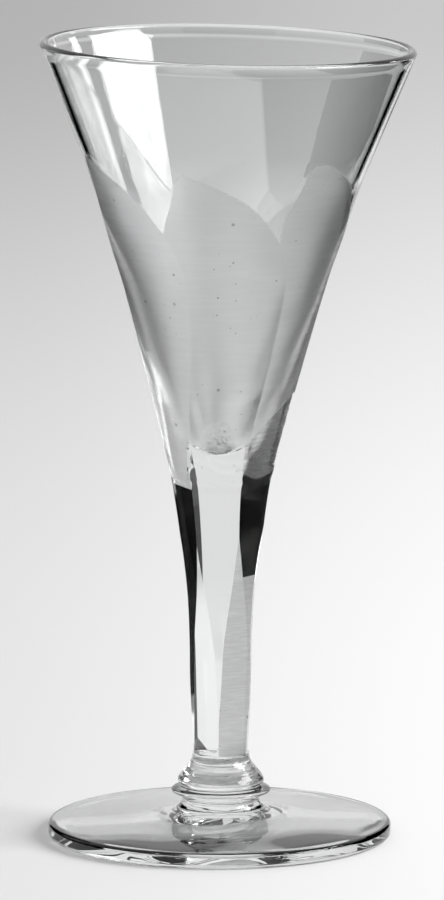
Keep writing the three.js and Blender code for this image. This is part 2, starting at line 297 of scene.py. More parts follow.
class CordialShape(bpy.types.PropertyGroup):
    """Sizes of the glass itself."""

    panel_columns: IntProperty(
        name="Columns in a panel",
        description="How many columns of faces lie across one panel or petal",
        default=54,
        min=8,
    )
    panel_turn: FloatProperty(
        name="Panel turn",
        description="How far the front panel is turned from the camera",
        default=math.radians(-6),
        subtype="ANGLE",
    )
    stem_offset: FloatProperty(
        name="Stem offset",
        description="How far the collar, stem and bowl stand to the right of the middle of the foot",
        default=0.2 * MM,
        unit="LENGTH",
    )
    foot_radius: FloatProperty(
        name="Foot radius",
        description="Half the width of the foot",
        default=FOOT_RADIUS,
        unit="LENGTH",
    )
    foot_edge: FloatProperty(
        name="Foot edge",
        description="Thickness of the foot at its edge",
        default=2.2 * MM,
        unit="LENGTH",
    )
    foot_rounding: FloatProperty(
        name="Foot rounding",
        description="Radius that the foot's edge is rounded with",
        default=0.65 * MM,
        unit="LENGTH",
    )
    foot_hollow: FloatProperty(
        name="Foot hollow",
        description="How far the foot is hollowed underneath",
        default=1.4 * MM,
        unit="LENGTH",
    )
    foot_rest: FloatProperty(
        name="Foot rest",
        description="Width of the flat ring that the foot rests on, inside its rounded edge",
        default=1.2 * MM,
        unit="LENGTH",
    )
    collar_foot_radius: FloatProperty(
        name="Collar foot radius",
        description="Radius where the collar meets the foot",
        default=7.1 * MM,
        unit="LENGTH",
    )
    foot_step_radius: FloatProperty(
        name="Foot step radius",
        description="Radius where the foot's top starts to rise more steeply to the collar",
        default=8.8 * MM,
        unit="LENGTH",
    )
    foot_waves: FloatProperty(
        name="Foot waves",
        description="Height of the slow waves that the foot kept from being shaped hot",
        default=0.18 * MM,
        unit="LENGTH",
    )
    foot_step: FloatProperty(
        name="Foot step",
        description="How much of the foot's height lies in that steeper rise",
        default=0.3 * MM,
        unit="LENGTH",
    )
    upper_panel_foot: FloatProperty(
        name="Upper panels at the collar",
        description="Distance of the stem's upper panels from its middle, carried down to the collar",
        default=4.0 * MM,
        unit="LENGTH",
    )
    upper_panel_waist: FloatProperty(
        name="Upper panels at the waist",
        description="Distance of the stem's upper panels from its middle where they start to spread",
        default=4.36 * MM,
        unit="LENGTH",
    )
    upper_waist_height: FloatProperty(
        name="Upper waist height",
        description="Height above the collar where the upper panels start to spread",
        default=21 * MM,
        unit="LENGTH",
    )
    lower_panel_foot: FloatProperty(
        name="Lower panels at the collar",
        description="Distance of the stem's lower panels from its middle at the collar",
        default=3.3 * MM,
        unit="LENGTH",
    )
    lower_panel_waist: FloatProperty(
        name="Lower panels at the waist",
        description="Distance of the stem's lower panels from its middle where they start to run out",
        default=3.72 * MM,
        unit="LENGTH",
    )
    lower_waist_height: FloatProperty(
        name="Lower waist height",
        description="Height above the collar where the lower panels start to run out",
        default=13 * MM,
        unit="LENGTH",
    )
    lower_panel_end: FloatProperty(
        name="Lower panels at their top",
        description="Distance of the stem's lower panels from its middle at the height of the bowl",
        default=7.4 * MM,
        unit="LENGTH",
    )
    upper_panel_unevenness: FloatProperty(
        name="Upper panel unevenness",
        description="How far the right front panel stands out at the waist; the others follow in shares",
        default=0.4 * MM,
        unit="LENGTH",
    )
    lower_panel_unevenness: FloatProperty(
        name="Lower panel unevenness",
        description="How far the lower panels at the sides stand out; the others follow in shares",
        default=0.7 * MM,
        unit="LENGTH",
    )
    ground_panel_height: FloatProperty(
        name="Ground panel height",
        description="Height of the point of the lower panel that was left ground",
        default=38 * MM,
        unit="LENGTH",
    )
    bowl_base_radius: FloatProperty(
        name="Bowl base radius",
        description="Radius over the ridges where the bowl meets the stem",
        default=7 * MM,
        unit="LENGTH",
    )
    bowl_height: FloatProperty(
        name="Bowl height",
        description="Height of the bowl above the stem",
        default=63 * MM,
        unit="LENGTH",
    )
    bowl_bend_radius: FloatProperty(
        name="Bowl bend radius",
        description="Outer radius of the bowl where its wall opens wider",
        default=18.72 * MM,
        unit="LENGTH",
    )
    bowl_bend_height: FloatProperty(
        name="Bowl bend height",
        description="Height above the stem where the bowl's wall opens wider",
        default=42.4 * MM,
        unit="LENGTH",
    )
    bowl_lip_radius: FloatProperty(
        name="Bowl lip radius",
        description="Outer radius of the lip",
        default=26.75 * MM,
        unit="LENGTH",
    )
    lip_thickness: FloatProperty(
        name="Lip thickness",
        description="Thickness of the wall at the lip",
        default=1.2 * MM,
        unit="LENGTH",
    )
    wall_at_bend: FloatProperty(
        name="Wall at the bend",
        description="Thickness of the wall where it opens wider",
        default=1.13 * MM,
        unit="LENGTH",
    )
    cavity_floor: FloatProperty(
        name="Cavity floor",
        description="Height of the cavity's lowest point above the stem",
        default=5 * MM,
        unit="LENGTH",
    )
    cavity_tip_radius: FloatProperty(
        name="Cavity tip radius",
        description="Radius of the cavity's round tip",
        default=4 * MM,
        unit="LENGTH",
    )
    petal_height: FloatProperty(
        name="Petal height",
        description="Height of the petals' arches above the stem",
        default=47.2 * MM,
        unit="LENGTH",
    )
    petal_shoulder: FloatProperty(
        name="Petal shoulder",
        description="Height above the stem where a petal starts to close into its arch",
        default=30 * MM,
        unit="LENGTH",
    )
    petal_face_radius: FloatProperty(
        name="Petal face radius",
        description="Radius that a petal's face is rounded with from side to side",
        default=21 * MM,
        unit="LENGTH",
    )
    petal_half_width: FloatProperty(
        name="Petal half width",
        description="Half the angle that a petal takes up at its shoulder",
        default=math.radians(33.5),
        subtype="ANGLE",
    )
    bowl_lean: FloatProperty(
        name="Bowl lean",
        description="How far the bowl leans to the right",
        default=math.radians(0.95),
        subtype="ANGLE",
    )
    lip_slope: FloatProperty(
        name="Lip slope",
        description="How far the lip slopes down to the right over and above the lean",
        default=math.radians(0.6),
        subtype="ANGLE",
    )


class CordialStage(bpy.types.PropertyGroup):
    """The floor, the lights and the camera."""

    floor_near: FloatVectorProperty(
        name="Floor near",
        description="Colour of the floor at the glass",
        subtype="COLOR",
        default=(0.93, 0.93, 0.93),
        min=0,
        max=1,
    )
    # The floor's tones far off, in front and beyond are painted shade, darker than near the glass
    floor_far_shade: FloatVectorProperty(
        name="Floor far",
        description="Colour of the floor far from the glass",
        subtype="COLOR",
        default=(0.6, 0.6, 0.6),
        min=0,
        max=1,
    )
    floor_front_shade: FloatVectorProperty(
        name="Floor in front",
        description="Colour of the floor in front of the glass, out of the picture",
        subtype="COLOR",
        default=(0.75, 0.75, 0.75),
        min=0,
        max=1,
    )
    floor_beyond_shade: FloatVectorProperty(
        name="Floor beyond",
        description="Colour of the floor farther off than the camera sees it",
        subtype="COLOR",
        default=(0.8, 0.8, 0.8),
        min=0,
        max=1,
    )
    # Painted shade that darkens the floor to the left of the glass
    floor_left_shade: FloatVectorProperty(
        name="Floor to the left",
        description="Colour that tones the floor to the left of the glass",
        subtype="COLOR",
        default=(0.8, 0.8, 0.8),
        min=0,
        max=1,
    )
    card_angle: FloatProperty(
        name="Card angle",
        description="How far to each side behind the glass the first dark card stands",
        default=math.radians(45),
        subtype="ANGLE",
    )
    card_spread: FloatProperty(
        name="Card spread",
        description="Angle that a dark card takes up, seen from the glass",
        default=math.radians(24),
        subtype="ANGLE",
    )
    card_distance: FloatProperty(
        name="Card distance",
        description="How far from the glass the dark cards stand",
        default=100 * MM,
        unit="LENGTH",
    )
    key_angle: FloatProperty(
        name="Soft box angle",
        description="Direction of the soft box, from behind the glass round to the right",
        default=math.radians(97),
        subtype="ANGLE",
    )
    key_rise: FloatProperty(
        name="Soft box rise",
        description="How high over the glass the soft box stands, as an angle",
        default=math.radians(30),
        subtype="ANGLE",
    )
    key_distance: FloatProperty(
        name="Soft box distance",
        description="How far from the glass the soft boxes stand",
        default=2800 * MM,
        unit="LENGTH",
    )
    key_width: FloatProperty(
        name="Soft box width",
        description="Width of the soft box",
        default=2150 * MM,
        unit="LENGTH",
    )
    key_height: FloatProperty(
        name="Soft box height",
        description="Height of the soft box",
        default=1500 * MM,
        unit="LENGTH",
    )
    key_strength: FloatProperty(
        name="Soft box strength",
        description="Brightness of the soft box's face",
        default=9,
    )
    small_box_angle: FloatProperty(
        name="Small soft box angle",
        description="Direction of the small soft box, from behind the glass round to the right",
        default=math.radians(57),
        subtype="ANGLE",
    )
    small_box_rise: FloatProperty(
        name="Small soft box rise",
        description="How high over the glass the small soft box stands, as an angle",
        default=math.radians(13.5),
        subtype="ANGLE",
    )
    small_box_width: FloatProperty(
        name="Small soft box width",
        description="Width of the small soft box",
        default=360 * MM,
        unit="LENGTH",
    )
    small_box_height: FloatProperty(
        name="Small soft box height",
        description="Height of the small soft box",
        default=480 * MM,
        unit="LENGTH",
    )
    small_box_strength: FloatProperty(
        name="Small soft box strength",
        description="Brightness of the small soft box's face",
        default=6,
    )
    glow: FloatVectorProperty(
        name="Glow",
        description="Colour of the light that comes from behind the glass",
        subtype="COLOR",
        default=(0.8, 0.8, 0.8),
        min=0,
        max=1,
    )
    glow_spread: FloatProperty(
        name="Glow spread",
        description="How far round from behind the glass the brighter light reaches",
        default=math.radians(60),
        subtype="ANGLE",
    )
    glow_rise: FloatProperty(
        name="Glow rise",
        description="How high behind the glass the brighter light has its middle, as an angle",
        default=0.5,
        subtype="ANGLE",
    )
    room: FloatVectorProperty(
        name="Room",
        description="Colour of the light that comes from all round",
        subtype="COLOR",
        default=(0.45, 0.45, 0.45),
        min=0,
        max=1,
    )
    camera_place: FloatVectorProperty(
        name="Camera place",
        description="Where the camera stands",
        subtype="TRANSLATION",
        default=(0.36 * MM, -1147 * MM, 241 * MM),
    )
    camera_tilt: FloatProperty(
        name="Camera tilt",
        description="How far the camera looks down",
        default=math.radians(9.17),
        subtype="ANGLE",
    )
    camera_lens: FloatProperty(
        name="Camera lens",
        description="Length of the camera's lens in millimetres, for a picture 36 millimetres wide",
        default=326,
    )


def deselect_all():
    if bpy.context.object and bpy.context.object.mode != "OBJECT":
        bpy.ops.object.mode_set(mode="OBJECT")
    bpy.ops.object.select_all(action="DESELECT")


def turned(name, outline, columns, turn):
    """One closed solid from an outline of (radius, height) points that starts and ends on the axis."""
    deselect_all()
    across = Vector((math.cos(turn), math.sin(turn), 0))
    places = [across * radius + Vector((0, 0, height)) for radius, height in outline]
    bpy.ops.mesh.primitive_plane_add(size=MM, location=places[0])
    bpy.ops.object.mode_set(mode="EDIT")
    bpy.ops.mesh.select_all(action="SELECT")
    bpy.ops.mesh.merge(type="CENTER")
    for here, there in zip(places, places[1:]):
        bpy.ops.mesh.extrude_region_move(TRANSFORM_OT_translate={"value": there - here})
    bpy.ops.object.mode_set(mode="OBJECT")
    piece = bpy.context.object
    piece.name = name
    piece.data.name = name
    turning = piece.modifiers.new("turning", "SCREW")
    turning.steps = columns
    turning.render_steps = columns
    turning.use_merge_vertices = True
    turning.merge_threshold = MERGE_DISTANCE
    bpy.ops.object.modifier_apply(modifier=turning.name)
    bpy.ops.object.mode_set(mode="EDIT")
    bpy.ops.mesh.select_all(action="SELECT")
    bpy.ops.mesh.remove_doubles(threshold=MERGE_DISTANCE)
    bpy.ops.mesh.normals_make_consistent(inside=False)
    bpy.ops.object.mode_set(mode="OBJECT")
    bpy.ops.object.transform_apply(location=True, rotation=True, scale=True)
    bpy.ops.object.shade_smooth()
    return piece


def corners(piece):
    """The places of a piece's vertices, as an array with a row for each."""
    flat = np.zeros(len(piece.data.vertices) * 3)
    piece.data.vertices.foreach_get("co", flat)
    return flat.reshape(-1, 3)


def set_corners(piece, places):
    piece.data.vertices.foreach_set("co", places.ravel())
    piece.data.update()


def hollow_curve(start, end, hollow, height):
    """Radius at a height on a curve that runs inside the straight line from start to end."""
    place = HOLLOW_PLACE_SHARE
    share = min(max((height - start[1]) / (end[1] - start[1]), 0), 1)
    straight = 1 - 2 * place
    t = (math.sqrt(place * place + straight * share) - place) / straight
    corner = start[0] + place * (end[0] - start[0]) - 2 * hollow
    return (1 - t) ** 2 * start[0] + 2 * t * (1 - t) * corner + t * t * end[0]


def even(start, end, count):
    """Values at even steps from start to end, both included."""
    return [start + (end - start) * i / count for i in range(count + 1)]


def straight_line(start, end, count):
    """Points of (radius, height) at even steps from start to end, without the start."""
    return [tuple(a + (b - a) * share for a, b in zip(start, end)) for share in even(0, 1, count)[1:]]


def eased(share):
    """A share from 0 to 1 that starts and ends level."""
    return share * share * (3 - 2 * share)


def arc(middle, radius, start, end, count):
    """Points of (radius, height) on an arc, from one angle to another."""
    return [
        (middle[0] + radius * math.cos(angle), middle[1] + radius * math.sin(angle))
        for angle in even(start, end, count)
    ]


def smooth_table(table, share):
    """Value of a table of (share, value) pairs on a smooth curve through them."""
    share = min(max(share, table[0][0]), table[-1][0])
    k = next(i for i in range(1, len(table)) if share <= table[i][0])
    before = table[max(k - 2, 0)]
    low, high = table[k - 1], table[k]
    after = table[min(k + 1, len(table) - 1)]
    step = high[0] - low[0]
    t = (share - low[0]) / step
    slope_low = (high[1] - before[1]) / (high[0] - before[0]) * step
    slope_high = (after[1] - low[1]) / (after[0] - low[0]) * step
    return (
        (2 * t**3 - 3 * t**2 + 1) * low[1]
        + (t**3 - 2 * t**2 + t) * slope_low
        + (3 * t**2 - 2 * t**3) * high[1]
        + (t**3 - t**2) * slope_high
    )


def slow_waves(x, y):
    """Uneven waves between -1 and 1, as glass shaped hot has them."""
    total = np.zeros(len(x))
    for length, turn, start in FOOT_WAVES:
        along = x * math.cos(turn) + y * math.sin(turn)
        total += np.sin(math.tau * along / (length * MM) + start)
    return total / len(FOOT_WAVES)


def wrapped(angle):
    """The same angle between minus half a turn and half a turn."""
    return (angle + math.pi) % math.tau - math.pi


def upper_panel(shape, k, height):
    """Distance of an upper panel from the stem's middle at a height above the collar."""
    waist = (shape.upper_panel_waist, shape.upper_waist_height)
    top = (shape.bowl_base_radius * math.cos(HALF_PANEL), STEM_LENGTH)
    if height <= waist[1]:
        share = height / waist[1]
        level = shape.upper_panel_foot + (waist[0] - shape.upper_panel_foot) * share
    else:
        share = (top[1] - height) / (top[1] - waist[1])
        level = hollow_curve(waist, top, UPPER_PANEL_HOLLOW, height)
    return level + UPPER_PANEL_SHARES[k] * shape.upper_panel_unevenness * eased(max(share, 0))


def lower_panel(shape, k, height):
    """Distance of a lower panel from the stem's middle at a height above the collar."""
    waist = (shape.lower_panel_waist, shape.lower_waist_height)
    top = (shape.lower_panel_end, STEM_LENGTH)
    if height <= waist[1]:
        share = height / waist[1]
        level = shape.lower_panel_foot + (waist[0] - shape.lower_panel_foot) * share
    else:
        level = hollow_curve(waist, top, LOWER_PANEL_HOLLOW, height)
    table = LOWER_BACK_SHARES if k in LOWER_BACK_PANELS else LOWER_SIDE_SHARES
    side = smooth_table(table, height / top[1])
    return level + LOWER_PANEL_SHARES[k] * shape.lower_panel_unevenness * side


def set_panels(shape, piece, panel, first):
    """Moves the corners of a six-sided solid to where its panels meet, each with the next."""
    places = corners(piece)
    for place in places:
        if math.hypot(place[0], place[1]) < ON_IT:
            continue
        k = round((math.atan2(place[1], place[0]) - first - HALF_PANEL) / PANEL_ANGLE) % PANELS
        height = min(max(place[2], 0), STEM_LENGTH)
        here = first + k * PANEL_ANGLE
        near = panel(shape, k, height)
        far = panel(shape, (k + 1) % PANELS, height)
        along = (far - near * math.cos(PANEL_ANGLE)) / math.sin(PANEL_ANGLE)
        place[0] = near * math.cos(here) - along * math.sin(here)
        place[1] = near * math.sin(here) + along * math.cos(here)
    set_corners(piece, places)


def stem_section(shape, angles, height):
    """Radius of the stem in some directions at a height above the collar."""
    # Starts farther out than any panel lies
    reach = np.full(len(angles), STEM_TOP)
    for panel, turn in ((upper_panel, 0), (lower_panel, HALF_PANEL)):
        for k in range(PANELS):
            off = np.cos(angles - front_angle(shape) - turn - k * PANEL_ANGLE)
            straight = panel(shape, k, height) / np.maximum(off, SMALLEST_COSINE)
            reach = np.where(off > 0, np.minimum(reach, straight), reach)
    return reach


def front_angle(shape):
    """Direction of the middle of the front panel."""
    return shape.panel_turn - math.pi / 2


def bowl_outside(shape, height):
    """Outer radius of the uncut bowl at a height above the stem."""
    base = (shape.bowl_base_radius, 0)
    bend = (shape.bowl_bend_radius, shape.bowl_bend_height)
    lip_middle = shape.bowl_height - shape.lip_thickness / 2
    steep = (shape.bowl_lip_radius - bend[0]) / (lip_middle - bend[1])
    above = bend[0] + steep * (height - bend[1])
    if height > bend[1]:
        below = bend[0] + LOWER_STEEPNESS * (height - bend[1])
    else:
        below = hollow_curve(base, bend, BOWL_HOLLOW, height)
    near = max(BEND_BLEND - abs(above - below), 0) / BEND_BLEND
    return max(above, below) + near * near * BEND_BLEND / 4


def petal_close(shape, height, rise_share):
    """Half the angle that a petal takes up at a height above the stem."""
    top = shape.petal_height * (1 + rise_share)
    share = (height - shape.petal_shoulder) / (top - shape.petal_shoulder)
    if share <= 0:
        return shape.petal_half_width
    if share >= 1:
        return 0.0
    return shape.petal_half_width * (1 - share * share) ** ARCH_POINTEDNESS


def petal_middles(shape, height):
    """Directions of the middles of the petals' faces at a height above the stem."""
    middles = []
    for k in range(PANELS):
        share = height / (shape.petal_height * (1 + PETAL_RISE_SHARES[k]))
        held = min(height / shape.petal_shoulder, 1)
        sway = smooth_table(PETAL_SWAY_SHARES, share)
        sway += PETAL_TURNS[k] * eased(held)
        middles.append(front_angle(shape) + k * PANEL_ANGLE + math.radians(sway))
    return middles


def face_radius(shape, uncut, half_width, off):
    """Radius of a petal's round face in directions off its middle."""
    rounding = shape.petal_face_radius
    middle = (
        rounding
        + uncut * math.cos(half_width)
        - math.sqrt(rounding**2 - (uncut * math.sin(half_width)) ** 2)
    )
    back = middle - rounding
    return back * np.cos(off) + np.sqrt(rounding**2 - (back * np.sin(off)) ** 2)


def columns_in(shape):
    """How many columns of faces lie round a piece."""
    return PANELS * shape.panel_columns


def ridge_columns(shape, middles):
    """Directions of the columns, which follow the ridges between the petals."""
    columns = []
    for k in range(PANELS):
        before = middles[k - 1] - (math.tau if k == 0 else 0)
        after = middles[(k + 1) % PANELS] + (math.tau if k == PANELS - 1 else 0)
        low = (before + middles[k]) / 2
        high = (middles[k] + after) / 2
        columns += even(low, high, shape.panel_columns)[:-1]
    return np.array(columns)


def rise_over(feet, k, off, row):
    """How far a row is over a petal's lower edge in some directions: 0 under it, and 1 over it."""
    heights = [smooth_table(feet[k], math.degrees(angle)) * MM for angle in off]
    return np.clip((row - np.array(heights)) / FOOT_BLEND + 0.5, 0, 1)


def cut_petals(shape, piece):
    """Moves the uncut bowl's outer wall onto the petals' faces and the ends of the stem panels."""
    total = columns_in(shape)
    first = front_angle(shape) - HALF_PANEL
    plain = first + np.arange(total) * math.tau / total
    places = corners(piece)
    ground = np.zeros(len(places))
    painted_streak_shade = np.zeros(len(places))
    radius = np.hypot(places[:, 0], places[:, 1])
    angle = np.arctan2(places[:, 1], places[:, 0])
    column = np.round((angle - first) / math.tau * total).astype(int) % total
    height = places[:, 2]
    lip_middle = shape.bowl_height - shape.lip_thickness / 2
    for row in np.unique(np.round(height[height < lip_middle], ROW_DECIMALS)):
        level = abs(height - row) < SAME_ROW
        uncut = bowl_outside(shape, row)
        wall = level & (abs(radius - uncut) < ON_IT)
        if row == 0:
            wall = level & (radius > ON_IT)
        if not wall.any():
            continue
        middles = petal_middles(shape, row)
        loose = eased(min(max((row - shape.petal_height) / (lip_middle - shape.petal_height), 0), 1))
        columns = ridge_columns(shape, middles) * (1 - loose) + plain * loose
        cut = np.full(total, uncut)
        inside = np.zeros(total)
        row_streak_shade = np.zeros(total)
        for middle, rise, dullness in zip(middles, PETAL_RISE_SHARES, PETAL_DULLNESS_SHARES):
            width = petal_close(shape, row, rise)
            off = wrapped(columns - middle)
            face = face_radius(shape, uncut, width, off)
            near = np.clip((width - abs(off)) / PETAL_EDGE, 0, 1) * dullness
            deeper = (abs(off) < width) & (face < cut)
            cut = np.where(deeper, face, cut)
            inside = np.where(deeper, near, inside)
        for k in range(PANELS if row < HIGHEST_FOOT else 0):
            off = wrapped(columns - front_angle(shape) - k * PANEL_ANGLE)
            panel = shape.bowl_base_radius * math.cos(HALF_PANEL) + PANEL_SPREAD * row
            over = rise_over(PETAL_FEET, k, off, row)
            over_ground = rise_over(GROUND_FEET, k, off, row)
            flat = panel / np.cos(np.clip(off, -HALF_PANEL, HALF_PANEL))
            if row > PANEL_MEETS_PETAL:
                flat = np.minimum(flat, cut)
            mine = abs(off) <= HALF_PANEL + SAME_ANGLE
            cut = np.where(mine, flat + (cut - flat) * over, cut)
            only_ground = over_ground - over
            inside = np.where(mine, inside * (over + only_ground * GROUND_FOOT_SHARES[k]), inside)
            # This panel's ground part gets painted shade in coarse dark streaks
            if k == STREAK_SHADED_FOOT:
                row_streak_shade = np.where(mine, only_ground, row_streak_shade)
        share = cut[column[wall]] / uncut
        places[wall, 0] = radius[wall] * share * np.cos(columns[column[wall]])
        places[wall, 1] = radius[wall] * share * np.sin(columns[column[wall]])
        ground[wall] = inside[column[wall]]
        painted_streak_shade[wall] = row_streak_shade[column[wall]]
    set_corners(piece, places)
    for name, values in (("ground", ground), ("painted_streak_shade", painted_streak_shade)):
        piece.data.attributes.new(name, "FLOAT", "POINT").data.foreach_set("value", values)


def set_by_hand(shape, piece):
    """Leans the bowl and slopes its lip, as it was set."""
    places = corners(piece)
    x = places[:, 0].copy()
    height = places[:, 2].copy()
    angle = shape.bowl_lean * np.clip(height / LEAN_START, 0, 1)
    drop = x * math.tan(shape.lip_slope) * (height / shape.bowl_height) ** 2
    places[:, 0] = x * np.cos(angle) + height * np.sin(angle)
    places[:, 2] = height * np.cos(angle) - x * np.sin(angle) - drop
    set_corners(piece, places)


def move(piece, x, z):
    """Moves a piece's corners to the right and up."""
    set_corners(piece, corners(piece) + (x, 0, z))


def new_group(name, result, *given):
    """A new node group that puts out one number, from numbers that it is given by name."""
    group = bpy.data.node_groups.new(name, "ShaderNodeTree")
    for title, usual in given:
        socket = group.interface.new_socket(title, in_out="INPUT", socket_type="NodeSocketFloat")
        socket.default_value = usual
    group.interface.new_socket(result, in_out="OUTPUT", socket_type="NodeSocketFloat")
    return group


def new_material(name):
    """A new material and its shader."""
    material = bpy.data.materials.new(name)
    material.use_nodes = True
    return material, material.node_tree.nodes["Principled BSDF"]


def wheel_marks():
    """A node group for the fine level lines that a cutting wheel leaves, as values from 0 to 1."""
    group = bpy.data.node_groups.get("wheel marks")
    if group:
        return group
    group = new_group("wheel marks", "Marks", ("Lines per metre", 3500))
    nodes = group.nodes
    links = group.links
    given = nodes.new("NodeGroupInput")
    place = nodes.new("ShaderNodeTexCoord")
    squeeze = nodes.new("ShaderNodeMapping")
    squeeze.inputs["Scale"].default_value = (MARK_LENGTH_SHARE, MARK_LENGTH_SHARE, 1)
    lines = nodes.new("ShaderNodeTexNoise")
    lines.inputs["Detail"].default_value = 3
    lines.inputs["Roughness"].default_value = 0.6
    result = nodes.new("NodeGroupOutput")
    links.new(place.outputs["Object"], squeeze.inputs["Vector"])
    links.new(squeeze.outputs["Vector"], lines.inputs["Vector"])
    links.new(given.outputs["Lines per metre"], lines.inputs["Scale"])
    links.new(lines.outputs["Fac"], result.inputs["Marks"])
    return group


def specks():
    """A node group for small scattered pits, as a mask that is 1 in a pit."""
    group = bpy.data.node_groups.get("specks")
    if group:
        return group
    group = new_group("specks", "Mask", ("Specks per metre", 500))
    nodes = group.nodes
    links = group.links
    given = nodes.new("NodeGroupInput")
    place = nodes.new("ShaderNodeTexCoord")
    cells = nodes.new("ShaderNodeTexVoronoi")
    size = nodes.new("ShaderNodeSeparateColor")
    reach = nodes.new("ShaderNodeMapRange")
    reach.inputs["From Min"].default_value = SPECKLESS_SHARE
    reach.inputs["From Max"].default_value = 1.0
    reach.inputs["To Min"].default_value = 0.0
    reach.inputs["To Max"].default_value = WIDEST_SPECK
    below = nodes.new("ShaderNodeMath")
    below.operation = "LESS_THAN"
    result = nodes.new("NodeGroupOutput")
    links.new(place.outputs["Object"], cells.inputs["Vector"])
    links.new(given.outputs["Specks per metre"], cells.inputs["Scale"])
    links.new(cells.outputs["Color"], size.inputs["Color"])
    links.new(size.outputs["Red"], reach.inputs["Value"])
    links.new(cells.outputs["Distance"], below.inputs[0])
    links.new(reach.outputs["Result"], below.inputs[1])
    links.new(below.outputs["Value"], result.inputs["Mask"])
    return group


def seed_cluster():
    """A node group for the little bubbles crowded under the bowl's cavity, as heights from 0 to 1."""
    group = bpy.data.node_groups.get("seed cluster")
    if group:
        return group
    group = new_group("seed cluster", "Height")
    nodes = group.nodes
    links = group.links
    place = nodes.new("ShaderNodeTexCoord")
    away = nodes.new("ShaderNodeVectorMath")
    away.operation = "DISTANCE"
    away.inputs[1].default_value = SEED_PLACE
    near = nodes.new("ShaderNodeMapRange")
    near.inputs["From Min"].default_value = SEED_REACH
    near.inputs["From Max"].default_value = SEED_CORE
    cells = nodes.new("ShaderNodeTexVoronoi")
    cells.inputs["Scale"].default_value = SEEDS_PER_METRE
    height = nodes.new("ShaderNodeMath")
    height.operation = "MULTIPLY"
    result = nodes.new("NodeGroupOutput")
    links.new(place.outputs["Object"], away.inputs[0])
    links.new(away.outputs["Value"], near.inputs["Value"])
    links.new(place.outputs["Object"], cells.inputs["Vector"])
    links.new(cells.outputs["Distance"], height.inputs[0])
    links.new(near.outputs["Result"], height.inputs[1])
    links.new(height.outputs["Value"], result.inputs["Height"])
    return group


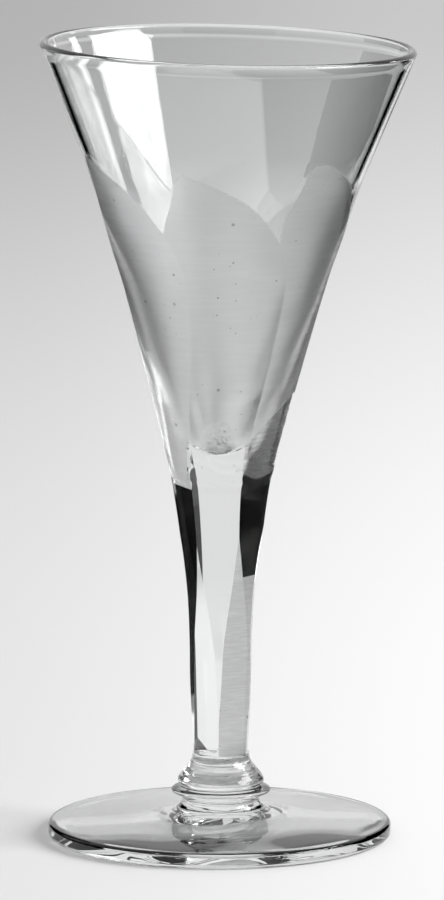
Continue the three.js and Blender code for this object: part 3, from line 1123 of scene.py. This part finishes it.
def cut_glass(name, clear, polish, dullness, lines, mark_depth):
    """Glass greyed by its given colour as painted shade, whose ground faces are dull, scored by the cutting
    wheel and darkened further with painted shade.
    """
    material = bpy.data.materials.get(name)
    if material:
        return material
    material, shader = new_material(name)
    nodes = material.node_tree.nodes
    links = material.node_tree.links
    shader.inputs["IOR"].default_value = GLASS_IOR
    shader.inputs["Transmission Weight"].default_value = 1
    ground = nodes.new("ShaderNodeAttribute")
    ground.attribute_name = "ground"
    marks = nodes.new("ShaderNodeGroup")
    marks.node_tree = wheel_marks()
    marks.inputs["Lines per metre"].default_value = lines

    uneven = nodes.new("ShaderNodeMapRange")
    uneven.inputs["From Min"].default_value = MARK_ROUGHNESS_RANGE[0]
    uneven.inputs["From Max"].default_value = MARK_ROUGHNESS_RANGE[1]
    uneven.inputs["To Min"].default_value = dullness * MARK_ROUGHNESS_SHARES[0]
    uneven.inputs["To Max"].default_value = dullness * MARK_ROUGHNESS_SHARES[1]
    rough = nodes.new("ShaderNodeMath")
    rough.operation = "MULTIPLY_ADD"
    rough.inputs[2].default_value = polish
    links.new(marks.outputs["Marks"], uneven.inputs["Value"])
    links.new(uneven.outputs["Result"], rough.inputs[0])
    links.new(ground.outputs["Fac"], rough.inputs[1])
    links.new(rough.outputs["Value"], shader.inputs["Roughness"])

    # Painted shade: ground faces are darkened evenly, and in dark streaks along the wheel's marks where the
    # streak mask is high
    shade_streaks = nodes.new("ShaderNodeMapRange")
    shade_streaks.inputs["From Min"].default_value = SHADE_STREAK_RANGE[0]
    shade_streaks.inputs["From Max"].default_value = SHADE_STREAK_RANGE[1]
    painted_streak_shade = nodes.new("ShaderNodeAttribute")
    painted_streak_shade.attribute_name = "painted_streak_shade"
    streak_shade_share = nodes.new("ShaderNodeMapRange")
    streak_shade_share.inputs["To Min"].default_value = FAINT_SHADE_STREAKS
    ground_shade = nodes.new("ShaderNodeMix")
    ground_shade.inputs["A"].default_value = EVEN_GROUND_SHADE
    painted_shade = nodes.new("ShaderNodeMath")
    painted_shade.operation = "MULTIPLY"
    shaded_colour = nodes.new("ShaderNodeMix")
    shaded_colour.data_type = "RGBA"
    shaded_colour.inputs["A"].default_value = (*clear, 1)
    shaded_colour.inputs["B"].default_value = (*(share * SHADE_STREAK_TONE for share in clear), 1)
    links.new(marks.outputs["Marks"], shade_streaks.inputs["Value"])
    links.new(painted_streak_shade.outputs["Fac"], streak_shade_share.inputs["Value"])
    links.new(streak_shade_share.outputs["Result"], ground_shade.inputs["Factor"])
    links.new(shade_streaks.outputs["Result"], ground_shade.inputs["B"])
    links.new(ground_shade.outputs["Result"], painted_shade.inputs[0])
    links.new(ground.outputs["Fac"], painted_shade.inputs[1])
    links.new(painted_shade.outputs["Value"], shaded_colour.inputs["Factor"])
    colour = shaded_colour.outputs["Result"]
    for spacing in SPECKS_PER_METRE:
        pits = nodes.new("ShaderNodeGroup")
        pits.node_tree = specks()
        pits.inputs["Specks per metre"].default_value = spacing
        pitted = nodes.new("ShaderNodeMath")
        pitted.operation = "MULTIPLY"
        dotted = nodes.new("ShaderNodeMix")
        dotted.data_type = "RGBA"
        dotted.inputs["B"].default_value = (SPECK_TONE, SPECK_TONE, SPECK_TONE, 1)
        links.new(pits.outputs["Mask"], pitted.inputs[0])
        links.new(ground.outputs["Fac"], pitted.inputs[1])
        links.new(pitted.outputs["Value"], dotted.inputs["Factor"])
        links.new(colour, dotted.inputs["A"])
        colour = dotted.outputs["Result"]
    links.new(colour, shader.inputs["Base Color"])

    seeds = nodes.new("ShaderNodeGroup")
    seeds.node_tree = seed_cluster()
    cut = nodes.new("ShaderNodeMath")
    cut.operation = "MULTIPLY"
    bubbled = nodes.new("ShaderNodeBump")
    bubbled.inputs["Strength"].default_value = 1
    bubbled.inputs["Distance"].default_value = SEED_SWELL
    bump = nodes.new("ShaderNodeBump")
    bump.inputs["Strength"].default_value = 1
    bump.inputs["Distance"].default_value = mark_depth
    links.new(seeds.outputs["Height"], bubbled.inputs["Height"])
    links.new(bubbled.outputs["Normal"], bump.inputs["Normal"])
    links.new(marks.outputs["Marks"], cut.inputs[0])
    links.new(ground.outputs["Fac"], cut.inputs[1])
    links.new(cut.outputs["Value"], bump.inputs["Height"])
    links.new(bump.outputs["Normal"], shader.inputs["Normal"])
    return material


def clear_glass():
    """Clear colourless glass."""
    material = bpy.data.materials.get("clear glass")
    if material:
        return material
    material, shader = new_material("clear glass")
    shader.inputs["Base Color"].default_value = (0.965, 0.97, 0.97, 1)
    shader.inputs["Roughness"].default_value = 0.0
    shader.inputs["IOR"].default_value = GLASS_IOR
    shader.inputs["Transmission Weight"].default_value = 1
    return material


def drawn_glass():
    """Clear colourless glass that was turned hot, with fine lines drawn round it."""
    material = bpy.data.materials.get("drawn glass")
    if material:
        return material
    material = clear_glass().copy()
    material.name = "drawn glass"
    nodes = material.node_tree.nodes
    links = material.node_tree.links
    marks = nodes.new("ShaderNodeGroup")
    marks.node_tree = wheel_marks()
    marks.inputs["Lines per metre"].default_value = DRAWN_LINES_PER_METRE
    bump = nodes.new("ShaderNodeBump")
    bump.inputs["Strength"].default_value = 1
    bump.inputs["Distance"].default_value = DRAWN_LINE_DEPTH
    links.new(marks.outputs["Marks"], bump.inputs["Height"])
    links.new(bump.outputs["Normal"], nodes["Principled BSDF"].inputs["Normal"])
    return material


def joined_glass():
    """The unseen meeting of two pieces that were joined hot."""
    material = bpy.data.materials.get("joined glass")
    if material:
        return material
    material, shader = new_material("joined glass")
    shader.inputs["Alpha"].default_value = 0
    return material


def finish_piece(piece, node, glass, is_joint):
    """Gives a piece its glass, marks the faces where it is joined to another, and hands it over."""
    piece.data.materials.append(glass)
    piece.data.materials.append(joined_glass())
    for face in piece.data.polygons:
        if is_joint(face.center, face.normal):
            face.material_index = 1
    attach(piece, "root")
    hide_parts(node)


class CORDIAL_OT_foot(bpy.types.Operator):
    """Make the round foot"""

    bl_idname = "cordial.foot"
    bl_label = "Foot"

    def execute(self, context):
        shape = context.scene.cordial_shape
        rounding = shape.foot_rounding
        edge = shape.foot_radius - rounding
        hollow_edge = edge - shape.foot_rest
        outline = []
        for share in even(0, 1, HOLLOW_ROWS):
            outline.append((hollow_edge * share, shape.foot_hollow * (1 - share) ** HOLLOW_POINTEDNESS))
        outline += arc((edge, rounding), rounding, -math.pi / 2, 0, ROUNDING_ROWS)
        upper = (edge, shape.foot_edge - rounding)
        outline += arc(upper, rounding, 0, math.pi / 2, ROUNDING_ROWS)
        step = (shape.foot_step_radius, FOOT_TOP - shape.foot_step)
        outline += straight_line((edge, shape.foot_edge), step, FOOT_TOP_ROWS)
        outline += straight_line(step, (shape.collar_foot_radius, FOOT_TOP), FOOT_STEP_ROWS)
        outline.append((0, FOOT_TOP))
        piece = turned("round_foot", outline, columns_in(shape), front_angle(shape) - HALF_PANEL)
        places = corners(piece)
        reach = np.hypot(places[:, 0], places[:, 1])
        above = places[:, 2] > shape.foot_edge
        towards = np.clip((edge - reach) / (edge - shape.collar_foot_radius), 0, 1)
        places[:, 0] += np.where(above, towards * shape.stem_offset, 0)
        # The waves fade out at the edge and the step on top, and at the ring that the foot rests on below
        fade_above = (edge - reach) * (reach - shape.foot_step_radius) / WAVE_FADE**2
        fade_below = (hollow_edge - reach) / MM
        uneven = np.clip(np.where(above, fade_above, fade_below), 0, 1)
        places[:, 2] += shape.foot_waves * uneven * slow_waves(places[:, 0], places[:, 1])
        places[:, 2] = np.maximum(places[:, 2], 0)
        set_corners(piece, places)
        finish_piece(
            piece,
            "foot",
            clear_glass(),
            lambda place, normal: normal.z > LEVEL and place.z > FOOT_TOP - ON_IT,
        )
        return {"FINISHED"}


class CORDIAL_OT_collar(bpy.types.Operator):
    """Make the ringed collar between the foot and the stem"""

    bl_idname = "cordial.collar"
    bl_label = "Collar"

    def execute(self, context):
        shape = context.scene.cordial_shape
        knots = [(shape.collar_foot_radius, 0.0)]
        knots += [(radius * MM, height * MM) for radius, height in COLLAR_KNOTS]
        knots.append((COLLAR_TOP_RADIUS, COLLAR_HEIGHT))
        places_of_knots = even(0, 1, len(knots) - 1)
        radii = [(place, knot[0]) for place, knot in zip(places_of_knots, knots)]
        heights = [(place, knot[1]) for place, knot in zip(places_of_knots, knots)]
        outline = [(0, 0)]
        for share in even(0, 1, COLLAR_ROWS):
            outline.append((smooth_table(radii, share), smooth_table(heights, share)))
        stem_seat = shape.lower_panel_foot
        outline.append((stem_seat, COLLAR_HEIGHT))
        outline.append((0, COLLAR_HEIGHT))
        turn = front_angle(shape) - HALF_PANEL
        piece = turned("ringed_collar", outline, columns_in(shape), turn)
        places = corners(piece)
        reach = np.hypot(places[:, 0], places[:, 1])
        seat = (places[:, 2] > COLLAR_HEIGHT - MERGE_DISTANCE) & (reach < stem_seat + ON_IT)
        angles = np.arctan2(places[seat, 1], places[seat, 0])
        wider = stem_section(shape, angles, 0) / stem_seat
        places[seat, :2] *= wider[:, None]
        set_corners(piece, places)
        bpy.ops.object.shade_smooth_by_angle(angle=SHARP_EDGE)
        move(piece, shape.stem_offset, FOOT_TOP)

        def is_joint(place, normal):
            if normal.z < -LEVEL and place.z < FOOT_TOP + ON_IT:
                return True
            off = math.hypot(place.x - shape.stem_offset, place.y)
            return place.z > COLLAR_TOP - ON_IT and off < stem_seat * SEAT_SHARE

        finish_piece(piece, "collar", drawn_glass(), is_joint)
        return {"FINISHED"}


class CORDIAL_OT_stem(bpy.types.Operator):
    """Make the stem, with six upper panels and six lower ones turned between them"""

    bl_idname = "cordial.stem"
    bl_label = "Stem"

    def execute(self, context):
        shape = context.scene.cordial_shape
        solids = []
        for name, panel, turn, over in (
            ("panel_cut_stem", upper_panel, 0, 0),
            ("lower_panels", lower_panel, HALF_PANEL, MM),
        ):
            outline = [(0, -over)]
            for height in even(-over, STEM_LENGTH + over, STEM_ROWS):
                outline.append((shape.bowl_base_radius, height))
            outline.append((0, STEM_LENGTH + over))
            first = front_angle(shape) + turn
            solids.append(turned(name, outline, PANELS, first + HALF_PANEL))
            set_panels(shape, solids[-1], panel, first)
        piece, lower = solids
        crossing = piece.modifiers.new("lower panels", "BOOLEAN")
        crossing.operation = "INTERSECT"
        crossing.object = lower
        crossing.solver = "EXACT"
        deselect_all()
        context.view_layer.objects.active = piece
        piece.select_set(True)
        bpy.ops.object.modifier_apply(modifier=crossing.name)
        bpy.data.objects.remove(lower)
        move(piece, shape.stem_offset, COLLAR_TOP)
        bpy.ops.object.shade_smooth_by_angle(angle=SHARP_PANEL_EDGE)
        piece.data.attributes.new("ground", "FLOAT", "FACE")
        piece.data.attributes.new("painted_streak_shade", "FLOAT", "FACE")
        # Ground are the lower panel to the right of the front, and the upper one beside it at its foot
        towards = front_angle(shape) + HALF_PANEL
        for face in piece.data.polygons:
            off = wrapped(math.atan2(face.normal.y, face.normal.x) - towards)
            beside = abs(off - HALF_PANEL) < HALF_PANEL / 2 and face.center.z < shape.ground_panel_height
            is_ground = 1 if abs(off) < HALF_PANEL / 2 or beside else 0
            # Ground faces also get faint streaks of painted shade
            for name, value in (("ground", is_ground), ("painted_streak_shade", STEM_STREAK_SHADE * is_ground)):
                piece.data.attributes[name].data[face.index].value = value
        # The given colour greys the stem's glass, darker than the clear foot of the same glass, as painted
        # shade
        glass = cut_glass(
            "cut stem glass",
            clear=(0.86, 0.865, 0.865),
            polish=0.05,
            dullness=0.5,
            lines=4500,
            mark_depth=0.05 * MM,
        )
        finish_piece(piece, "stem", glass, lambda place, normal: abs(normal.z) > LEVEL)
        return {"FINISHED"}


class CORDIAL_OT_bowl(bpy.types.Operator):
    """Make the conical bowl with its cut petals"""

    bl_idname = "cordial.bowl"
    bl_label = "Bowl"

    def execute(self, context):
        shape = context.scene.cordial_shape
        round_lip = shape.lip_thickness / 2
        lip = (shape.bowl_lip_radius - round_lip, shape.bowl_height - round_lip)
        petals_top = shape.petal_height * (1 + max(PETAL_RISE_SHARES))
        outside = even(0, petals_top, PETAL_ROWS) + even(petals_top, lip[1], RIM_ROWS)[1:-1]
        outline = [(0, 0)]
        outline += [(bowl_outside(shape, height), height) for height in outside]
        outline += arc(lip, round_lip, 0, math.pi, LIP_ROWS)
        tip = (0, shape.cavity_floor + shape.cavity_tip_radius)
        bend = (shape.bowl_bend_radius - shape.wall_at_bend, shape.bowl_bend_height)
        reach = Vector((bend[0] - tip[0], bend[1] - tip[1]))
        half_angle = math.atan2(reach.x, reach.y) - math.asin(shape.cavity_tip_radius / reach.length)
        round_tip = arc(tip, shape.cavity_tip_radius, -half_angle, -math.pi / 2, CAVITY_TIP_ROWS)
        outline += straight_line(outline[-1], bend, UPPER_CAVITY_ROWS)
        outline += straight_line(bend, round_tip[0], LOWER_CAVITY_ROWS)
        outline += round_tip[1:-1]
        outline.append((0, shape.cavity_floor))
        turn = front_angle(shape) - HALF_PANEL
        piece = turned("petal_cut_bowl", outline, columns_in(shape), turn)
        cut_petals(shape, piece)
        bpy.ops.object.shade_smooth_by_angle(angle=SHARP_EDGE)
        set_by_hand(shape, piece)
        move(piece, shape.stem_offset, STEM_TOP)
        # The given colour greys the bowl's glass, darker than the clear foot of the same glass, as painted
        # shade
        glass = cut_glass(
            "cut bowl glass",
            clear=(0.87, 0.875, 0.875),
            polish=0.0,
            dullness=0.42,
            lines=2300,
            mark_depth=0.01 * MM,
        )
        finish_piece(
            piece,
            "bowl",
            glass,
            lambda place, normal: normal.z < -LEVEL and place.z < STEM_TOP + ON_IT,
        )
        return {"FINISHED"}


def floor_material(stage):
    """Pale paper, with painted shade that tones it by the distance and the direction from the glass."""
    material, shader = new_material("pale paper")
    nodes = material.node_tree.nodes
    links = material.node_tree.links
    shader.inputs["Roughness"].default_value = 0.9
    shader.inputs["Specular IOR Level"].default_value = 0.1
    place = nodes.new("ShaderNodeTexCoord")
    distance = nodes.new("ShaderNodeVectorMath")
    distance.operation = "LENGTH"
    ramp = nodes.new("ShaderNodeMapRange")
    ramp.interpolation_type = "SMOOTHSTEP"
    ramp.inputs["From Min"].default_value = FLOOR_FAR_RANGE[0]
    ramp.inputs["From Max"].default_value = FLOOR_FAR_RANGE[1]
    mix = nodes.new("ShaderNodeMix")
    mix.data_type = "RGBA"
    mix.inputs["A"].default_value = (*stage.floor_near, 1)
    mix.inputs["B"].default_value = (*stage.floor_far_shade, 1)
    links.new(place.outputs["Object"], distance.inputs[0])
    links.new(distance.outputs["Value"], ramp.inputs["Value"])
    links.new(ramp.outputs["Result"], mix.inputs["Factor"])
    sides = nodes.new("ShaderNodeSeparateXYZ")
    links.new(place.outputs["Object"], sides.inputs["Vector"])
    colour = mix.outputs["Result"]
    for value, ends, blend, tone in (
        (sides.outputs["X"], FLOOR_LEFT_RANGE, "MULTIPLY", stage.floor_left_shade),
        (sides.outputs["Y"], FLOOR_FRONT_RANGE, "MIX", stage.floor_front_shade),
        (distance.outputs["Value"], FLOOR_BEYOND_RANGE, "MIX", stage.floor_beyond_shade),
    ):
        side = nodes.new("ShaderNodeMapRange")
        side.interpolation_type = "SMOOTHSTEP"
        side.inputs["From Min"].default_value = ends[0]
        side.inputs["From Max"].default_value = ends[1]
        toned = nodes.new("ShaderNodeMix")
        toned.data_type = "RGBA"
        toned.blend_type = blend
        toned.inputs["B"].default_value = (*tone, 1)
        links.new(value, side.inputs["Value"])
        links.new(side.outputs["Result"], toned.inputs["Factor"])
        links.new(colour, toned.inputs["A"])
        colour = toned.outputs["Result"]
    links.new(colour, shader.inputs["Base Color"])
    return material


def dark_paper():
    """Matt black paper."""
    material = bpy.data.materials.get("black paper")
    if material:
        return material
    material, shader = new_material("black paper")
    shader.inputs["Base Color"].default_value = (0.002, 0.002, 0.002, 1)
    shader.inputs["Specular IOR Level"].default_value = 0
    shader.inputs["Roughness"].default_value = 1
    return material


def studio_air(stage):
    """Light that comes from all round, brighter from behind the glass."""
    world = bpy.data.worlds.new("studio")
    world.use_nodes = True
    nodes = world.node_tree.nodes
    links = world.node_tree.links
    direction = nodes.new("ShaderNodeTexCoord")
    aim = nodes.new("ShaderNodeVectorMath")
    aim.operation = "DOT_PRODUCT"
    aim.inputs[1].default_value = (0, math.cos(stage.glow_rise), math.sin(stage.glow_rise))
    ramp = nodes.new("ShaderNodeMapRange")
    ramp.interpolation_type = "SMOOTHSTEP"
    ramp.inputs["From Min"].default_value = math.cos(stage.glow_spread)
    ramp.inputs["From Max"].default_value = math.cos(stage.glow_spread / 2)
    mix = nodes.new("ShaderNodeMix")
    mix.data_type = "RGBA"
    mix.inputs["A"].default_value = (*stage.room, 1)
    mix.inputs["B"].default_value = (*stage.glow, 1)
    links.new(direction.outputs["Generated"], aim.inputs[0])
    links.new(aim.outputs["Value"], ramp.inputs["Value"])
    links.new(ramp.outputs["Result"], mix.inputs["Factor"])
    links.new(mix.outputs["Result"], nodes["Background"].inputs["Color"])
    nodes["Background"].inputs["Strength"].default_value = 1
    return world


def bright_paper(strength):
    """White paper in its own light."""
    material, shader = new_material("bright paper")
    shader.inputs["Base Color"].default_value = (0, 0, 0, 1)
    shader.inputs["Specular IOR Level"].default_value = 0
    shader.inputs["Emission Color"].default_value = (1, 1, 1, 1)
    shader.inputs["Emission Strength"].default_value = strength
    return material


def shaded_paper(reach, tones):
    """White paper in its own light, with painted shade that darkens it to the right."""
    start, end = reach
    light, dark = tones
    material = bright_paper(1)
    material.name = "shaded paper"
    nodes = material.node_tree.nodes
    links = material.node_tree.links
    place = nodes.new("ShaderNodeTexCoord")
    sides = nodes.new("ShaderNodeSeparateXYZ")
    fall = nodes.new("ShaderNodeMapRange")
    fall.inputs["From Min"].default_value = start
    fall.inputs["From Max"].default_value = end
    shade = nodes.new("ShaderNodeMix")
    shade.data_type = "RGBA"
    shade.inputs["A"].default_value = (light, light, light, 1)
    shade.inputs["B"].default_value = (dark, dark, dark, 1)
    links.new(place.outputs["Object"], sides.inputs["Vector"])
    links.new(sides.outputs["X"], fall.inputs["Value"])
    links.new(fall.outputs["Result"], shade.inputs["Factor"])
    links.new(shade.outputs["Result"], nodes["Principled BSDF"].inputs["Emission Color"])
    return material


def card(places, paper):
    """A card between four places, seen only in the glass."""
    deselect_all()
    bpy.ops.mesh.primitive_plane_add(size=1)
    piece = bpy.context.object
    order = (0, 1, 3, 2)
    set_corners(piece, np.array([places[k] for k in order]))
    piece.name = "card"
    piece.data.materials.append(paper)
    piece.visible_camera = False
    piece.visible_shadow = False
    piece.visible_diffuse = False


def lying_card(places, paper):
    """A card on the floor, between four places to the side and to the back in millimetres."""
    card([Vector((x * MM, y * MM, CARD_LIFT)) for x, y in places], paper)


def screen(places, back, paper):
    """An upright card across the view, between four places to the side and up in millimetres."""
    card([Vector((x * MM, back, z * MM)) for x, z in places], paper)


def standing_cards(stage):
    """The dark cards that stand round behind the glass."""
    reach = stage.card_distance
    half = reach * math.tan(stage.card_spread / 2)
    for side, tops in STANDING_CARD_TOPS:
        for k, card_top in enumerate(tops):
            angle = side * (stage.card_angle + k * stage.card_spread)
            middle = Vector((reach * math.sin(angle), reach * math.cos(angle), 0))
            across = Vector((half * math.cos(angle), -half * math.sin(angle), 0))
            top = Vector((0, 0, card_top * MM))
            low = (middle - across, middle + across)
            card((*low, low[1] + top, low[0] + top), dark_paper())


def soft_box(stage, angle, rise, width, height, strength):
    """A lamp with a flat face that looks at the glass, unseen by the camera."""
    level = math.cos(rise)
    aim = Vector((math.sin(angle) * level, math.cos(angle) * level, math.sin(rise)))
    deselect_all()
    bpy.ops.object.light_add(
        type="AREA",
        location=aim * stage.key_distance + Vector((0, 0, SOFT_BOX_AIM)),
        rotation=(math.pi / 2 - rise, 0, math.pi - angle),
    )
    lamp = bpy.context.object
    lamp.name = "soft box"
    lamp.data.shape = "RECTANGLE"
    lamp.data.size = width
    lamp.data.size_y = height
    lamp.data.energy = strength * math.pi * width * height
    lamp.visible_camera = False


class CORDIAL_OT_stage(bpy.types.Operator):
    """Make the floor, the lights and the camera"""

    bl_idname = "cordial.stage"
    bl_label = "Stage"

    def execute(self, context):
        scene = context.scene
        stage = scene.cordial_stage
        scene.view_settings.view_transform = "Standard"
        deselect_all()
        bpy.ops.mesh.primitive_circle_add(
            vertices=96,
            radius=FLOOR_RADIUS,
            fill_type="NGON",
            location=(0, 0, -FLOOR_DROP),
        )
        bpy.ops.object.transform_apply(location=True, rotation=True, scale=True)
        floor = context.object
        floor.name = "floor"
        floor.data.materials.append(floor_material(stage))

        standing_cards(stage)
        for places in DARK_CARDS:
            lying_card(places, dark_paper())
        for places, strength in WHITE_CARDS:
            lying_card(places, bright_paper(strength))
        lying_card(SHADED_CARD, shaded_paper(SHADED_CARD_REACH, SHADED_CARD_TONES))
        screen(WHITE_SCREEN, WHITE_SCREEN_PLACE, bright_paper(WHITE_SCREEN_TONE))
        screen(DARK_SCREEN, DARK_SCREEN_PLACE, dark_paper())
        lying_card(FRONT_CARD, bright_paper(FRONT_CARD_TONE))

        soft_box(
            stage,
            stage.key_angle,
            stage.key_rise,
            stage.key_width,
            stage.key_height,
            stage.key_strength,
        )
        soft_box(
            stage,
            stage.small_box_angle,
            stage.small_box_rise,
            stage.small_box_width,
            stage.small_box_height,
            stage.small_box_strength,
        )
        scene.world = studio_air(stage)

        deselect_all()
        bpy.ops.object.camera_add(
            location=stage.camera_place,
            rotation=(math.pi / 2 - stage.camera_tilt, 0, 0),
        )
        camera = context.object
        camera.name = "camera"
        camera.data.lens = stage.camera_lens
        camera.data.sensor_width = 36
        scene.camera = camera
        return {"FINISHED"}


class CORDIAL_PT_glass(bpy.types.Panel):
    """The glass's pieces and sizes"""

    bl_idname = "CORDIAL_PT_glass"
    bl_label = "Cordial glass"
    bl_space_type = "VIEW_3D"
    bl_region_type = "UI"
    bl_category = "Cordial glass"

    def draw(self, context):
        layout = self.layout
        for maker in MAKERS:
            layout.operator(maker.bl_idname)
        for group in (context.scene.cordial_shape, context.scene.cordial_stage):
            box = layout.box()
            for name in group.bl_rna.properties.keys():
                if name not in ("rna_type", "name"):
                    box.prop(group, name)


MAKERS = (
    CORDIAL_OT_foot,
    CORDIAL_OT_collar,
    CORDIAL_OT_stem,
    CORDIAL_OT_bowl,
    CORDIAL_OT_stage,
)
CLASSES = (CordialShape, CordialStage, *MAKERS, CORDIAL_PT_glass)


def register():
    for made in CLASSES:
        bpy.utils.register_class(made)
    bpy.types.Scene.cordial_shape = PointerProperty(type=CordialShape)
    bpy.types.Scene.cordial_stage = PointerProperty(type=CordialStage)


def unregister():
    del bpy.types.Scene.cordial_shape
    del bpy.types.Scene.cordial_stage
    for made in reversed(CLASSES):
        bpy.utils.unregister_class(made)


def main():
    register()
    bpy.ops.cordial.foot()
    bpy.ops.cordial.collar()
    bpy.ops.cordial.stem()
    bpy.ops.cordial.bowl()
    bpy.ops.cordial.stage()


if __name__ == "__main__":
    main()
